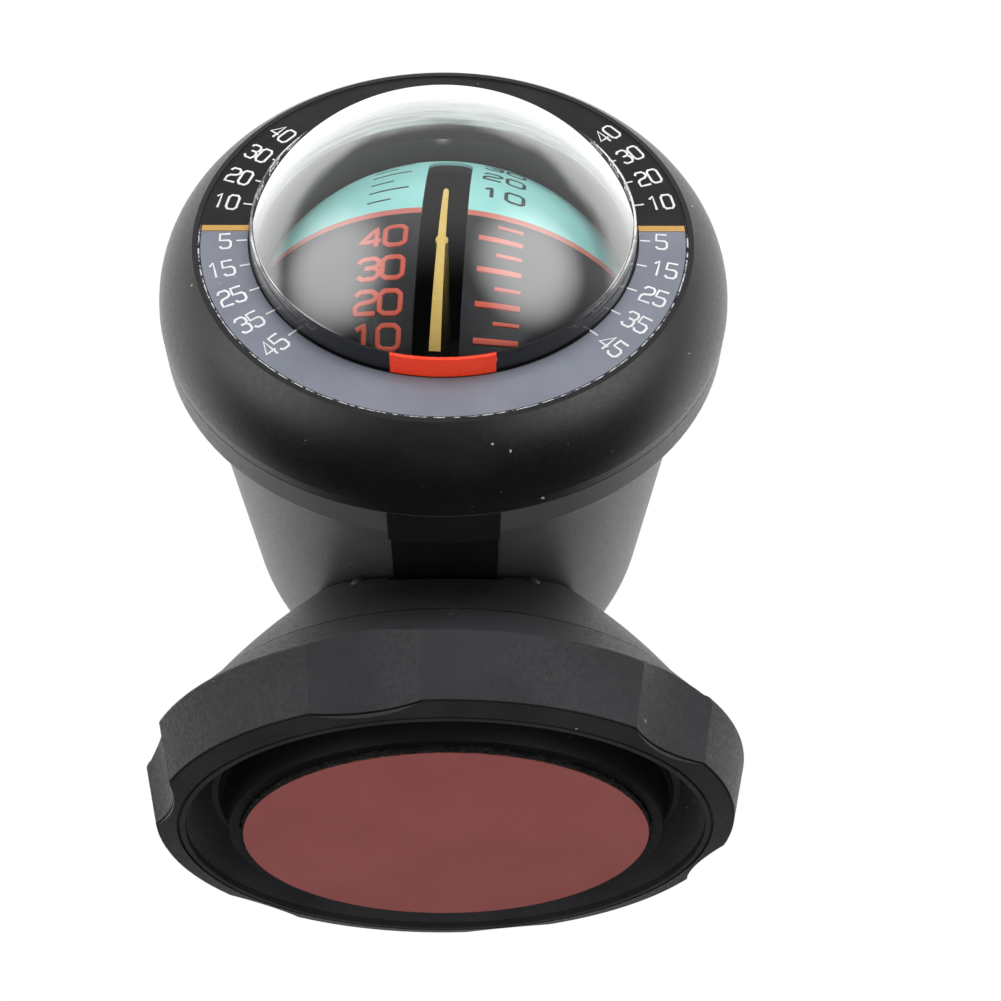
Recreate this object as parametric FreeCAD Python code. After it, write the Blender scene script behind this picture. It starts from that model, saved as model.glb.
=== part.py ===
import FreeCAD, Part
import math
import os

from FreeCAD import Vector

# Dashboard inclinometer: a liquid-filled ball meter in a head that tilts and swivels on a sticky base.
# Millimetres, +Z up, origin at the centre of the release paper's face.
# The dial looks along -Y. Head pieces are built about their own axis (height along the dial's
# normal, zero at the centre of the ball joint) and are placed by on_head().

# ---- driving dimensions ----
# Base
paper_thickness = 0.15
paper_margin = 0.1           # the paper is this much smaller than the tape
foam_thickness = 1.0
rim_width = 1.2              # raised rim round the tape
rim_depth = 0.5
plate_floor = 2.2
plate_flare = 1.0            # how much the plate's side widens towards its thread
thread_land_bottom = 4.6
thread_land_top = 9.0
plate_wall = 3.1
plate_hub_radius = 8.0
plate_ribs = 6
plate_rib_width = 1.4
spindle_radius = 5.0
spindle_top = 12.0
felt_thickness = 0.4
swivel_shank = 1.5           # screw down the spindle
swivel_washer_thickness = 0.8

# Grip ring
foot_radius = 34.6           # outer edge of the lobes at the foot
pad_inset = 10.2             # from there in to the foam tape
thread_inset = 7.0           # from there in to the thread
foot_width = 3.5             # from there in to the opening
wall_flare = 1.9             # how much the lobed wall widens up to its top edge
wall_top = 8.4
wall_edge = 0.5              # softening of the wall's top edge
shoulder_inset = 1.5         # from the wall's top edge in to the cone
shoulder_height = 9.6
foot_height = 0.35
foot_rise = 0.5              # slope of the foot, from the groove out to the wall
opening_lip = 0.8
groove_inset = 2.9           # groove in the foot, from the lobes' outer edge
groove_width = 0.35
groove_depth = 0.4
step_depth = 0.35            # thin groove between the foot and the wall
step_width = 0.25
lobes = 6
scoop_angle = 46.2           # azimuth of one scoop, from the front towards +X
scoop_half_angle = 10.2
scoop_depth = 1.7
scoop_length = 12.0          # reach of the cut up and down from the foot
ledge_height = 13.9          # joint between the ring's cone and the neck's cone
ledge_gap = 0.15
ring_lip = 1.1               # width of the ring's top lip
lip_thickness = 1.75

# Neck and ball joint
pivot_height = 51.0
ball_radius = 27.0
socket_gap = 0.3
collar_radius = 17.6         # rim of the collar at the sides and back
neck_bulge = 0.45            # how far the neck's side stands out of a straight cone
dish_thickness = 3.0
neck_wall = 2.6
notch_half_width = 8.5
notch_drop = 0.5             # flat foot of the notch in the collar's front, below the socket
knob_radius = 0.9
seat_inner_angle = 15.0      # friction seat, measured from straight down
seat_outer_angle = 33.0
seat_depth = 1.25
seat_front = 2.7             # the half band's ends lie this far behind the pivot
swivel_plate_radius = 24.1
swivel_plate_screw_circle = 22.3
clamp_screw_radius = 2.0
clamp_head_radius = 3.6
clamp_head_height = 2.6
shoe_radius = 6.5
shoe_thickness = 2.0
spring_height = 2.6
spring_wire = 0.8
nut_half_flats = 3.5
nut_height = 3.2
rest_tilt = 1.5              # how far the dial looks up at rest
rest_roll = 3.5              # how far the needle and the ball hang to the right at rest
tilt_up = 40.0               # travel up from level
tilt_margin = 1.5

# Head
dial_stand_off = 50.2        # dial face from the ball joint's centre
housing_wall = 1.4
barrel_front_radius = 30.0
rim_thickness = 4.0
parting_gap = 0.15
bezel_radius = 33.2
bezel_depth = 9.3
bezel_lip = 0.6              # width of the bezel's edge outside the dial
key_half_width = 6.0
key_height = 0.6
key_end = 12.0               # where the key ends, ahead of the ball's centre
key_clearance = 0.6          # at each side of the key
key_pad = 0.25               # how far the key stands out of the rim band
bezel_wall = 2.0             # bezel's side, outside its screw pocket
dial_outer_radius = 27.6
dial_inner_radius = 21.95
dial_thickness = 0.9
inlay_depth = 0.1
mark_width = 0.9
mark_proud = 0.05
window_radius = 21.25        # outside of the dome's skirt
window_collar = 2.4          # height of the black collar in front of the dial
collar_taper = 0.25          # how much the collar's outside narrows towards its top
dome_radius = 26.7
dome_sink = 13.5             # centre of the dome's sphere behind the dial face
dome_wall = 1.5
dome_flange_radius = 24.8
dome_flange_thickness = 1.6
dome_flange_sink = 2.2       # top of the dome's flange behind the dial face
flange_clearance = 0.35      # round the dome's flange, in the bezel's bore
flange_hold = 1.1            # overlap of the bezel's inner lip on the flange
index_width = 11.1
index_proud = 0.12           # how far the red bar stands out of the collar

# Capsule and works
float_radius = 26.0
float_wall = 1.1
float_depth = 24.0           # float centre behind the dial face
float_gap = 0.8
bowl_wall = 0.9
bowl_mouth_radius = 20.8
ear_reach = 3.25             # screw ears' circle outside the bezel's bore
ear_radius = 2.0
ear_thickness = 1.6
plug_place = (35.0, 90.0)    # degrees from the bowl's rear pole, and round it
plug_radius = 2.0
bellows_place = (48.0, 0.0)
bellows_radius = 4.6
bearing_radius = 2.2
seal_radius = 22.9
seal_section = 0.45
band_latitude = 4.5          # horizon band above the float's equator, degrees
band_width = 0.9
slot_half_width = 2.6
slot_top = 30.0              # front slot, degrees above the roll axis
slot_bottom = -50.0
rear_slot_half_width = 1.5
rear_slot_angle = 43.0
needle_top = 9.5
needle_bottom = -36.8
needle_arm_angle = -8.0
needle_gap = 0.4
needle_thickness = 0.5
needle_tip_half_width = 0.3
needle_base_half_width = 0.65
roll_shaft_radius = 0.8
cross_shaft_radius = 0.7
float_hub_radius = 2.0
float_hub_length = 3.2
yoke_half = 3.0
float_weight_depth = 4.0
float_weight_thickness = 1.9
roll_weight_radius = 3.6
roll_weight_height = 6.0
roll_weight_drop = 9.0

# Clearances and fasteners
running_gap = 0.05
slip_gap = 0.1
screw_radius = 1.0
screw_head_radius = 1.9
screw_head_height = 1.3

# ---- worked-out sizes ----
pad_radius = foot_radius - pad_inset
thread_land_radius = foot_radius - thread_inset
opening_radius = foot_radius - foot_width
groove_radius = foot_radius - groove_inset
wall_radius = foot_radius + wall_flare
shoulder_radius = wall_radius - shoulder_inset
step_bottom = foot_height + foot_rise
step_top = step_bottom + step_width
pad_face = paper_thickness + foam_thickness
plate_rim_inner = pad_radius + 0.4
plate_rim_outer = plate_rim_inner + rim_width
plate_top = pad_face + plate_floor
felt_top = thread_land_top + felt_thickness
dish_radius = ball_radius + socket_gap
collar_height = pivot_height - math.sqrt(dish_radius ** 2 - collar_radius ** 2)
cone_slope = (collar_height - shoulder_height) / (shoulder_radius - collar_radius)
ring_top = ledge_height - ledge_gap
ring_lip_under = ring_top - lip_thickness
flange_bottom = felt_top + running_gap
flange_top = ring_lip_under - slip_gap
housing_flange = dial_stand_off - bezel_depth - rim_thickness
parting = dial_stand_off - bezel_depth
float_centre = dial_stand_off - float_depth
bowl_inner = float_radius + float_gap
bowl_outer = bowl_inner + bowl_wall
dome_centre = dial_stand_off - dome_sink
dome_flange_top = dial_stand_off - dome_flange_sink
dome_flange_bottom = dome_flange_top - dome_flange_thickness
bowl_front = dome_flange_bottom - 0.2
bezel_bore = dome_flange_radius + flange_clearance
bezel_lip_inner = dome_flange_radius - flange_hold
bezel_pocket_radius = bezel_radius - bezel_wall
ear_circle = bezel_bore + ear_reach
bezel_sleeve = 1.45
sleeve_bottom = parting + 0.9
notch_height = pivot_height - dish_radius - notch_drop


# ---- helpers ----
def cone_radius(height):
    """Radius of the outer cone shared by the ring's top and the neck."""
    return shoulder_radius - (height - shoulder_height) / cone_slope


def lathe(outline):
    """Full turn about Z of a closed outline of (radius, height).
    A step of four numbers is an arc: through the first pair to the second."""
    edges = []
    start = outline[0]
    here = start
    for step in list(outline[1:]) + [start]:
        end = step[-2:]
        a = Vector(here[0], 0, here[1])
        b = Vector(end[0], 0, end[1])
        if len(step) == 4:
            middle = Vector(step[0], 0, step[1])
            edges.append(Part.Arc(a, middle, b).toShape())
        elif a.distanceToPoint(b) > 1e-7:
            edges.append(Part.makeLine(a, b))
        here = end
    face = Part.Face(Part.Wire(edges))
    return face.revolve(Vector(0, 0, 0), Vector(0, 0, 1), 360)


def ring(inner, outer, bottom, top):
    """Flat ring about Z."""
    return lathe([(inner, bottom), (outer, bottom), (outer, top), (inner, top)])


def disc(radius, bottom, top):
    return Part.makeCylinder(radius, top - bottom, Vector(0, 0, bottom))


def ball(radius, height=0.0):
    return Part.makeSphere(radius, Vector(0, 0, height))


def block(x0, x1, y0, y1, z0, z1):
    return Part.makeBox(x1 - x0, y1 - y0, z1 - z0, Vector(x0, y0, z0))


def around(shape, count, start=0.0):
    """Copies of a shape turned about Z."""
    copies = []
    for index in range(count):
        copy = shape.copy()
        copy.rotate(Vector(0, 0, 0), Vector(0, 0, 1), start + 360.0 * index / count)
        copies.append(copy)
    return copies


def fuse(shapes):
    return shapes[0].multiFuse(shapes[1:]).removeSplitter()


def on_head(shape, nose_up=rest_tilt):
    """From the head's own axis to its place: height becomes -Y, up becomes +Z."""
    placed = shape.copy()
    placed.rotate(Vector(0, 0, 0), Vector(1, 0, 0), 90 - nose_up)
    placed.translate(Vector(0, 0, pivot_height))
    return placed


def on_level_head(shape):
    """The same for a head whose dial is upright; the socket is cut to this place."""
    return on_head(shape, 0.0)


def at_float(shape):
    """From the float's centre, +Z up, to its place: turned about the dial's normal by the rest roll."""
    lean = math.radians(rest_tilt)
    normal = Vector(0, -math.cos(lean), math.sin(lean))
    placed = shape.copy()
    placed.rotate(Vector(0, 0, 0), normal, -rest_roll)
    placed.translate(normal * float_centre + Vector(0, 0, pivot_height))
    return placed


def in_roll_frame(shape):
    """From the float's centre, the roll axis along -Y, to its place in the tilted head."""
    turned = shape.copy()
    turned.rotate(Vector(0, 0, 0), Vector(1, 0, 0), -rest_tilt)
    return at_float(turned)


def wedge(half_width, radius, low, high):
    """Sector in the YZ plane about X, for angles above the -Y axis."""
    sector = Part.makeCylinder(radius, 2 * half_width, Vector(-half_width, 0, 0), Vector(1, 0, 0), high - low)
    # the sector starts on +Z or +Y depending on the axis, so it is turned by its own centre
    centre = sector.CenterOfMass
    now = math.degrees(math.atan2(centre.z, -centre.y))
    sector.rotate(Vector(0, 0, 0), Vector(1, 0, 0), now - (low + high) / 2)
    return sector


def spoke(radius, start, end, angle):
    """Cylinder along a radius in the YZ plane, at an angle above the -Y axis."""
    direction = Vector(0, -math.cos(math.radians(angle)), math.sin(math.radians(angle)))
    return Part.makeCylinder(radius, end - start, direction * start, direction)


def slot(half_width, radius, low, high):
    """Round-ended slot through a shell, in the YZ plane about X."""
    inner = radius * 0.6
    cut = wedge(half_width, radius, low, high)
    cut = cut.cut(Part.makeCylinder(inner, 4 * half_width, Vector(-2 * half_width, 0, 0), Vector(1, 0, 0)))
    return fuse([cut, spoke(half_width, inner, radius, low), spoke(half_width, inner, radius, high)])


def export(name, shape):
    solids = shape.Solids
    if not solids:
        raise RuntimeError(name + " has no solid")
    whole = solids[0] if len(solids) == 1 else Part.makeCompound(solids)
    whole.exportStep(os.path.join("parts", name + ".step"))
    print(name, len(solids), "solid(s)", round(sum(s.Volume for s in solids) / 1000.0, 3), "cm3")


# ---- base ----
def release_paper():
    return disc(pad_radius - paper_margin, 0, paper_thickness)


def foam_tape():
    return disc(pad_radius, paper_thickness, pad_face)


def pad_plate():
    """Round plate: a rim round the tape below, a threaded wall, ribs and the spindle above."""
    flare_foot = plate_rim_outer
    flare_top = plate_rim_outer + plate_flare
    body = lathe([
        (0, pad_face), (plate_rim_inner, pad_face), (plate_rim_inner, pad_face - rim_depth),
        (flare_foot, pad_face - rim_depth), (flare_top, thread_land_bottom),
        (thread_land_radius, thread_land_bottom), (thread_land_radius, thread_land_top),
        (thread_land_radius - plate_wall, thread_land_top), (thread_land_radius - plate_wall, plate_top),
        (plate_hub_radius, plate_top), (plate_hub_radius, thread_land_top),
        (spindle_radius, thread_land_top), (spindle_radius, spindle_top), (0, spindle_top)])
    rib = block(plate_hub_radius - 1, thread_land_radius - plate_wall + 1, -plate_rib_width / 2,
                plate_rib_width / 2, plate_top - 0.5, thread_land_top - 1.0)
    body = fuse([body] + around(rib, plate_ribs))
    return body.cut(disc(swivel_shank, plate_top + 1, spindle_top + 1))


def felt_washer():
    return ring(thread_land_radius - plate_wall + 0.2, thread_land_radius - 0.2, thread_land_top, felt_top)


def swivel_washer():
    bottom = spindle_top
    return ring(swivel_shank + slip_gap, spindle_radius + 2.5, bottom, bottom + swivel_washer_thickness)


def swivel_screw():
    """Pan-head screw down the spindle, with a cross recess."""
    seat = spindle_top + swivel_washer_thickness
    head = lathe([(0, seat), (3.2, seat), (3.2, seat + 0.9), (2.6, seat + 1.7, 0, seat + 2.0)])
    shank = disc(swivel_shank, plate_top + 1.5, seat + 0.1)
    screw = fuse([head, shank])
    for turn in (0, 90):
        cross = block(-1.8, 1.8, -0.35, 0.35, seat + 1.0, seat + 3)
        cross.rotate(Vector(0, 0, 0), Vector(0, 0, 1), turn)
        screw = screw.cut(cross)
    return screw


# ---- grip ring ----
def grip_ring():
    """Six-lobed flaring ring: sloped foot, inner lip, cone-shaped inside, threaded bore, cone-shaped top."""
    lip_inner = cone_radius(ring_top) - ring_lip
    bore = thread_land_radius + running_gap
    cavity = neck_flange_radius() + 0.3
    groove_outer = groove_radius + groove_width
    edge = wall_edge * 0.3
    body = lathe([
        (opening_radius, foot_height), (groove_radius, foot_height),
        (groove_radius, foot_height + groove_depth), (groove_outer, foot_height + groove_depth),
        (groove_outer, foot_height), (foot_radius - 0.2, step_bottom), (foot_radius - 0.2, step_top),
        (foot_radius, step_top), (wall_radius - edge * 0.5, wall_top - wall_edge),
        (wall_radius - edge, wall_top, wall_radius - wall_edge, wall_top + edge),
        (shoulder_radius, shoulder_height), (cone_radius(ring_top), ring_top), (lip_inner, ring_top),
        (lip_inner, ring_lip_under), (cavity, ring_lip_under), (cavity, thread_land_top), (bore, thread_land_top),
        (bore, thread_land_bottom + 0.4), (bore + 0.8, thread_land_bottom + 0.4),
        (opening_radius, foot_height + opening_lip)])
    body = body.cut(ring(foot_radius - step_depth, wall_radius, step_bottom, step_top))
    for cutter in around(scoop_cutter(), lobes, scoop_angle - 90.0):
        body = body.cut(cutter)
    return body


def neck_flange_radius():
    return cone_radius(ring_top) - ring_lip + 0.85


def scoop_cutter():
    """Cylinder that leans with the wall's flare, with a thin disc that cuts the groove over the foot."""
    half_chord = foot_radius * math.sin(math.radians(scoop_half_angle))
    sagitta = scoop_depth - foot_radius * (1 - math.cos(math.radians(scoop_half_angle)))
    radius = (half_chord ** 2 + sagitta ** 2) / (2 * sagitta)
    reach = foot_radius - scoop_depth
    flare = math.atan2(wall_flare, wall_top - step_top)
    lean = Vector(math.sin(flare), 0, math.cos(flare))
    middle = Vector(reach + radius / math.cos(flare), 0, step_top)
    scoop = Part.makeCylinder(radius, 2 * scoop_length, middle - lean * scoop_length, lean)
    return fuse([scoop, disc_at(radius + step_depth, reach + radius, step_bottom, step_top)])


# ---- neck ----
def neck_cone():
    """Cone whose top is hollowed to the head's shape, with a notch in front and a flange under the ring's lip."""
    flange = neck_flange_radius()
    waist = cone_radius(ring_top) - ring_lip - 0.35
    skirt = swivel_plate_radius + slip_gap
    middle = (ledge_height + collar_height) / 2
    cone = lathe([
        (0, flange_bottom), (flange, flange_bottom), (flange, flange_top), (waist, flange_top),
        (waist, ledge_height), (cone_radius(ledge_height), ledge_height),
        (cone_radius(middle) + neck_bulge, middle + neck_bulge, collar_radius + 0.35, collar_height - 0.5),
        (collar_radius + 0.1, collar_height - 0.1, collar_radius - 0.5, collar_height),
        (0, collar_height)])
    cavity = lathe([
        (0, flange_top), (skirt - 2.2, flange_top), (cone_radius(ledge_height + 2) - neck_wall, ledge_height + 2),
        (collar_radius - neck_wall, collar_height), (0, collar_height)])
    cavity = cavity.cut(on_level_head(housing_solid(socket_gap + dish_thickness)))
    neck = cone.cut(cavity).cut(disc(skirt, flange_bottom - 1, flange_top + 0.01))
    boss = disc(nut_half_flats + 2.2, nut_bottom() - 0.2, pivot_height - ball_radius)
    neck = fuse([neck, boss] + collar_knobs())
    neck = neck.cut(on_level_head(housing_solid(socket_gap)))
    neck = neck.cut(block(-notch_half_width, notch_half_width, -shoulder_radius, 0, notch_height, pivot_height))
    neck = neck.cut(keyway())
    neck = neck.cut(seat_pocket())
    neck = neck.cut(disc(clamp_screw_radius + slip_gap, flange_bottom, collar_height))
    neck = neck.cut(hexagon(nut_half_flats + slip_gap, nut_bottom() - 2, nut_bottom() + nut_height))
    for pilot in around(swivel_plate_screw(), 3, 30):
        neck = neck.cut(pilot)
    return neck


def collar_knobs():
    """Round knobs on the collar's edge, one at each end of the notch."""
    knobs = []
    across = notch_half_width + knob_radius + 0.6
    barrel = housing_outline(socket_gap)[2]
    height = pivot_height - math.sqrt(barrel ** 2 - across ** 2) + 0.5
    along = math.sqrt((cone_radius(height) + neck_bulge) ** 2 - across ** 2)
    for side in (-1, 1):
        knobs.append(Part.makeSphere(knob_radius + 0.3, Vector(side * across, -along + 0.7, height)))
    return knobs


def nut_bottom():
    return pivot_height - dish_radius - dish_thickness - nut_height + 0.8


def hexagon(half_flats, bottom, top):
    radius = half_flats / math.cos(math.radians(30))
    corners = [Vector(radius * math.cos(math.radians(60 * i)), radius * math.sin(math.radians(60 * i)), bottom)
               for i in range(7)]
    return Part.Face(Part.makePolygon(corners)).extrude(Vector(0, 0, top - bottom))


def keyway():
    """Groove in the socket's front for the head's key."""
    groove = on_level_head(housing_solid(socket_gap + key_height))
    half = key_half_width + key_clearance
    return groove.common(block(-half, half, -shoulder_radius, 2.0 - key_end, 0, pivot_height))


def seat_band(inner, outer, low, high):
    """Spherical band under the ball, between two angles from straight down."""
    def point(radius, angle):
        return (radius * math.sin(math.radians(angle)), pivot_height - radius * math.cos(math.radians(angle)))
    middle = (low + high) / 2
    return lathe([point(inner, low), point(outer, low), point(outer, middle) + point(outer, high),
                  point(inner, high), point(inner, middle) + point(inner, low)])


def seat_pocket():
    outer = dish_radius + seat_depth
    band = seat_band(ball_radius, outer, seat_inner_angle - 0.15, seat_outer_angle + 0.15)
    return band.common(block(-ball_radius, ball_radius, seat_front - 0.1, ball_radius, 0, pivot_height))


def friction_seat():
    """Nylon half band in the back of the socket, where the head is ball-shaped."""
    band = seat_band(ball_radius + running_gap, dish_radius + seat_depth - 0.02, seat_inner_angle, seat_outer_angle)
    return band.common(block(-ball_radius, ball_radius, seat_front, ball_radius, 0, pivot_height))


def swivel_plate():
    """Disc that runs on the spindle and is screwed up into the neck."""
    plate = ring(spindle_radius + running_gap, swivel_plate_radius, flange_bottom, flange_top)
    for hole in around(disc_at(screw_radius + slip_gap, swivel_plate_screw_circle, flange_bottom - 1,
                               flange_top + 1), 3, 30):
        plate = plate.cut(hole)
    for pocket in around(disc_at(screw_head_radius - 0.2, swivel_plate_screw_circle, flange_bottom - 1,
                                 flange_bottom + 1.1), 3, 30):
        plate = plate.cut(pocket)
    return plate


def disc_at(radius, circle, bottom, top):
    return Part.makeCylinder(radius, top - bottom, Vector(circle, 0, bottom))


def swivel_plate_screw():
    head = disc_at(screw_head_radius - 0.3, swivel_plate_screw_circle, flange_bottom + 0.1, flange_bottom + 1.1)
    shank = disc_at(screw_radius, swivel_plate_screw_circle, flange_bottom + 1.0, flange_top + 2.4)
    return fuse([head, shank])


def swivel_plate_screws():
    return Part.makeCompound(around(swivel_plate_screw(), 3, 30))


def shell_inside():
    return ball_radius - housing_wall


def clamp_shoe():
    """Round washer with a ball-shaped underside that presses the ball's shell from inside."""
    outer = shell_inside() - running_gap
    top = pivot_height - outer + shoe_thickness + 0.9
    shoe = ball(outer, pivot_height).common(disc(shoe_radius, pivot_height - outer - 1, top))
    return shoe.cut(disc(clamp_screw_radius + slip_gap, 0, pivot_height))


def shoe_top():
    return pivot_height - shell_inside() + running_gap + shoe_thickness + 0.9


def clamp_spring():
    """Two dished spring washers, back to back."""
    bottom = shoe_top()
    inner = clamp_screw_radius + slip_gap
    outer = clamp_head_radius + 0.6
    half = spring_height / 2
    low = lathe([(inner, bottom + half - spring_wire), (outer, bottom), (outer, bottom + spring_wire),
                 (inner, bottom + half)])
    high = lathe([(inner, bottom + half), (outer, bottom + spring_height - spring_wire),
                  (outer, bottom + spring_height), (inner, bottom + half + spring_wire)])
    return Part.makeCompound([low, high])


def clamp_screw():
    """Pan-head screw from inside the ball down to the nut under the socket."""
    seat = shoe_top() + spring_height
    head = disc(clamp_head_radius, seat, seat + clamp_head_height)
    head = head.cut(hexagon(1.5, seat + 1.0, seat + clamp_head_height + 1))
    shank = disc(clamp_screw_radius, nut_bottom() - 0.8, seat + 0.1)
    return fuse([head, shank])


def clamp_nut():
    nut = hexagon(nut_half_flats, nut_bottom(), nut_bottom() + nut_height - 0.05)
    return nut.cut(disc(clamp_screw_radius + 0.02, nut_bottom() - 1, nut_bottom() + nut_height + 1))


# ---- head: housing ----
def housing_outline(offset):
    """Outside of the ball and barrel, grown by an offset: (tangent radius, tangent height, front radius)."""
    radius = ball_radius + offset
    rise = (barrel_front_radius - ball_radius) / housing_flange
    lean = math.sqrt(1 + rise ** 2)
    return radius / lean, -radius * rise / lean, radius * lean + rise * housing_flange


def housing_solid(offset):
    """Ball and barrel as one full solid up to the flange."""
    radius = ball_radius + offset
    tangent_radius, tangent_height, front = housing_outline(offset)
    middle = radius * math.sin(math.radians(45))
    return lathe([(0, -radius), (middle, -middle, tangent_radius, tangent_height), (front, housing_flange),
                  (0, housing_flange)])


def rear_housing():
    """Barrel with a ball-shaped rear end, a rim band at the front and a spigot that enters the bezel."""
    flange = ring(barrel_front_radius - 2.0, bezel_radius, housing_flange, parting - parting_gap)
    flange = flange.makeFillet(0.5, [e for e in flange.Edges
                                     if abs(e.CenterOfMass.z - housing_flange) < 1e-6 and
                                     abs(e.BoundBox.XMax - bezel_radius) < 1e-6])
    step = step_ring()
    spigot = ring(spigot_outer() - 0.6, spigot_outer(), parting - 1.0, parting + 2.2)
    outside = fuse([housing_solid(0.0), flange, step, spigot])
    inside = housing_solid(-housing_wall)
    bay = disc(spigot_outer() - 0.6, housing_flange + 1.4, parting + 3)
    throat = disc(housing_outline(-housing_wall)[2], housing_flange - 1, parting)
    shell = outside.cut(inside).cut(bay).cut(throat)
    opening = slot(clamp_screw_radius + 0.4, ball_radius + 3, -90 - tilt_up - tilt_margin, -90 + tilt_margin)
    opening = opening.common(block(-10, 10, -40, 40, -40, 0))
    opening.rotate(Vector(0, 0, 0), Vector(1, 0, 0), -rest_tilt)
    opening.translate(Vector(0, 0, pivot_height))
    return on_head(shell).cut(opening)


def spigot_outer():
    return bezel_pocket_radius - slip_gap


def key_rib():
    """Flat strip on the underside: across the rim band, down its back and along the barrel to the socket."""
    strip = housing_solid(key_height).cut(housing_solid(0.0))
    strip = strip.cut(disc(bezel_radius, -ball_radius - 1, key_end))
    strip = strip.cut(step_ring())
    back = ring(barrel_front_radius - 0.5, bezel_radius + key_pad, housing_flange - key_height, housing_flange)
    back = back.cut(step_ring()).cut(housing_solid(0.0))
    pad = ring(bezel_radius, bezel_radius + key_pad, housing_flange - key_height, parting - parting_gap)
    whole = fuse([strip, back, pad])
    lower = block(-key_half_width, key_half_width, -bezel_radius - 2, 0, 0, parting)
    return on_head(whole.common(lower))


def step_ring():
    """Small step behind the rim band."""
    return ring(barrel_front_radius - 2.0, barrel_front_radius + 1.1, housing_flange - 0.7, housing_flange + 0.5)


# ---- head: front ----
def bezel_ring():
    """Flared ring: dial recess and inner lip in front, a screw pocket behind."""
    d = dial_stand_off
    sleeve = bezel_bore + bezel_sleeve
    lip_under = dome_flange_top + slip_gap
    edge = dial_outer_radius + slip_gap
    body = lathe([
        (bezel_bore, sleeve_bottom), (bezel_bore, lip_under), (bezel_lip_inner, lip_under),
        (bezel_lip_inner, d - dial_thickness), (edge, d - dial_thickness), (edge, d + 0.15),
        (edge + bezel_lip, d + 0.15), (bezel_radius - 1.55, d - 3.3, bezel_radius, parting + 1.2),
        (bezel_radius, parting), (bezel_pocket_radius, parting), (bezel_pocket_radius, parting + 3.2),
        (sleeve + 1.6, d - 3.2), (sleeve, d - 3.2), (sleeve, sleeve_bottom)])
    bosses = around(disc_at(2.0, ear_circle, ear_top(), d - 3.0), 3, 90)
    body = fuse([body] + bosses)
    for pilot in around(disc_at(screw_radius, ear_circle, ear_top() - 1, ear_top() + 3.4), 3, 90):
        body = body.cut(pilot)
    return body


def ear_top():
    return sleeve_bottom


def dial_ring():
    """Flat ring, with a shallow recess for its slate lower half and the gold marks."""
    d = dial_stand_off
    plate = ring(dial_inner_radius, dial_outer_radius, d - dial_thickness, d)
    return plate.cut(dial_recess(0.0))


def dial_recess(shrink):
    """Lower half of the dial's face, and the two marks above its edge."""
    d = dial_stand_off
    face = ring(dial_inner_radius + 0.15 + shrink, dial_outer_radius - 0.2 - shrink, d - inlay_depth, d + 0.2)
    lower = block(-40, 40, -40, mark_width, d - 1, d + 1)
    return face.common(lower)


def dial_lower_inlay():
    d = dial_stand_off
    face = dial_recess(0.02).common(block(-40, 40, -40, -0.02, d - 1, d))
    return face


def level_marks():
    """Two gold bars on the horizontal diameter."""
    d = dial_stand_off
    marks = dial_recess(0.02).common(block(-40, 40, 0.02, mark_width - 0.02, d - 1, d + mark_proud))
    return marks


def window_collar_outline(grow):
    """Black collar: flange under the dial's edge, tapering wall in front of the dial."""
    d = dial_stand_off
    inner = window_radius + slip_gap
    return [(inner, dome_flange_top), (bezel_lip_inner - slip_gap, dome_flange_top),
            (bezel_lip_inner - slip_gap, d - dial_thickness - 0.02),
            (dial_inner_radius - slip_gap + grow, d - dial_thickness - 0.02),
            (dial_inner_radius - slip_gap + grow, d),
            (dial_inner_radius - slip_gap - collar_taper * 0.3 + grow, d + window_collar * 0.6,
             dial_inner_radius - slip_gap - collar_taper + grow, d + window_collar),
            (inner, d + window_collar)]


def window_ring():
    return lathe(window_collar_outline(0.0)).cut(index_space(slip_gap))


def index_space(gap):
    """Seat of the red bar: a notch through the collar at six o'clock."""
    d = dial_stand_off
    skin = lathe(window_collar_outline(0.5))
    half = index_width / 2 + gap
    return skin.common(block(-half, half, -40, 0, d + 0.02 - gap / 2, d + window_collar + 1))


def index_bar():
    """Red bar at six o'clock, set into the collar and standing a little proud of it."""
    d = dial_stand_off
    skin = lathe(window_collar_outline(index_proud))
    half = index_width / 2
    bar = skin.common(block(-half, half, -40, 0, d + 0.02, d + window_collar - 0.05))
    return bar


def clear_dome():
    """Clear cap on a short skirt with a flange."""
    d = dial_stand_off
    inner = dome_radius - dome_wall

    def cap(radius, at_radius):
        rise = math.sqrt(radius ** 2 - at_radius ** 2)
        half = math.asin(at_radius / radius) / 2
        return (at_radius, dome_centre + rise), (radius * math.sin(half), dome_centre + radius * math.cos(half))
    outer_foot, outer_middle = cap(dome_radius, window_radius)
    inner_foot, inner_middle = cap(inner, window_radius - dome_wall)
    return lathe([
        (window_radius - dome_wall, dome_flange_bottom), (dome_flange_radius, dome_flange_bottom),
        (dome_flange_radius, dome_flange_top), (window_radius, dome_flange_top), outer_foot,
        outer_middle + (0, dome_centre + dome_radius), (0, dome_centre + inner), inner_middle + inner_foot])


# ---- capsule ----
def bowl_inside():
    """Space inside the bowl: the sphere round the float and the mouth."""
    mouth = disc(bowl_mouth_radius, float_centre + 8, bowl_front + 1)
    return fuse([ball(bowl_inner, float_centre), mouth]).cut(disc(60, bowl_front, bowl_front + 40))


def rear_direction(polar, turn):
    """Unit direction from the float's centre, polar degrees from the rear pole."""
    p = math.radians(polar)
    t = math.radians(turn)
    return Vector(math.sin(p) * math.cos(t), math.sin(p) * math.sin(t), -math.cos(p))


def stud(direction, radius, start, end):
    centre = Vector(0, 0, float_centre)
    return Part.makeCylinder(radius, end - start, centre + direction * start, direction)


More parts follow.
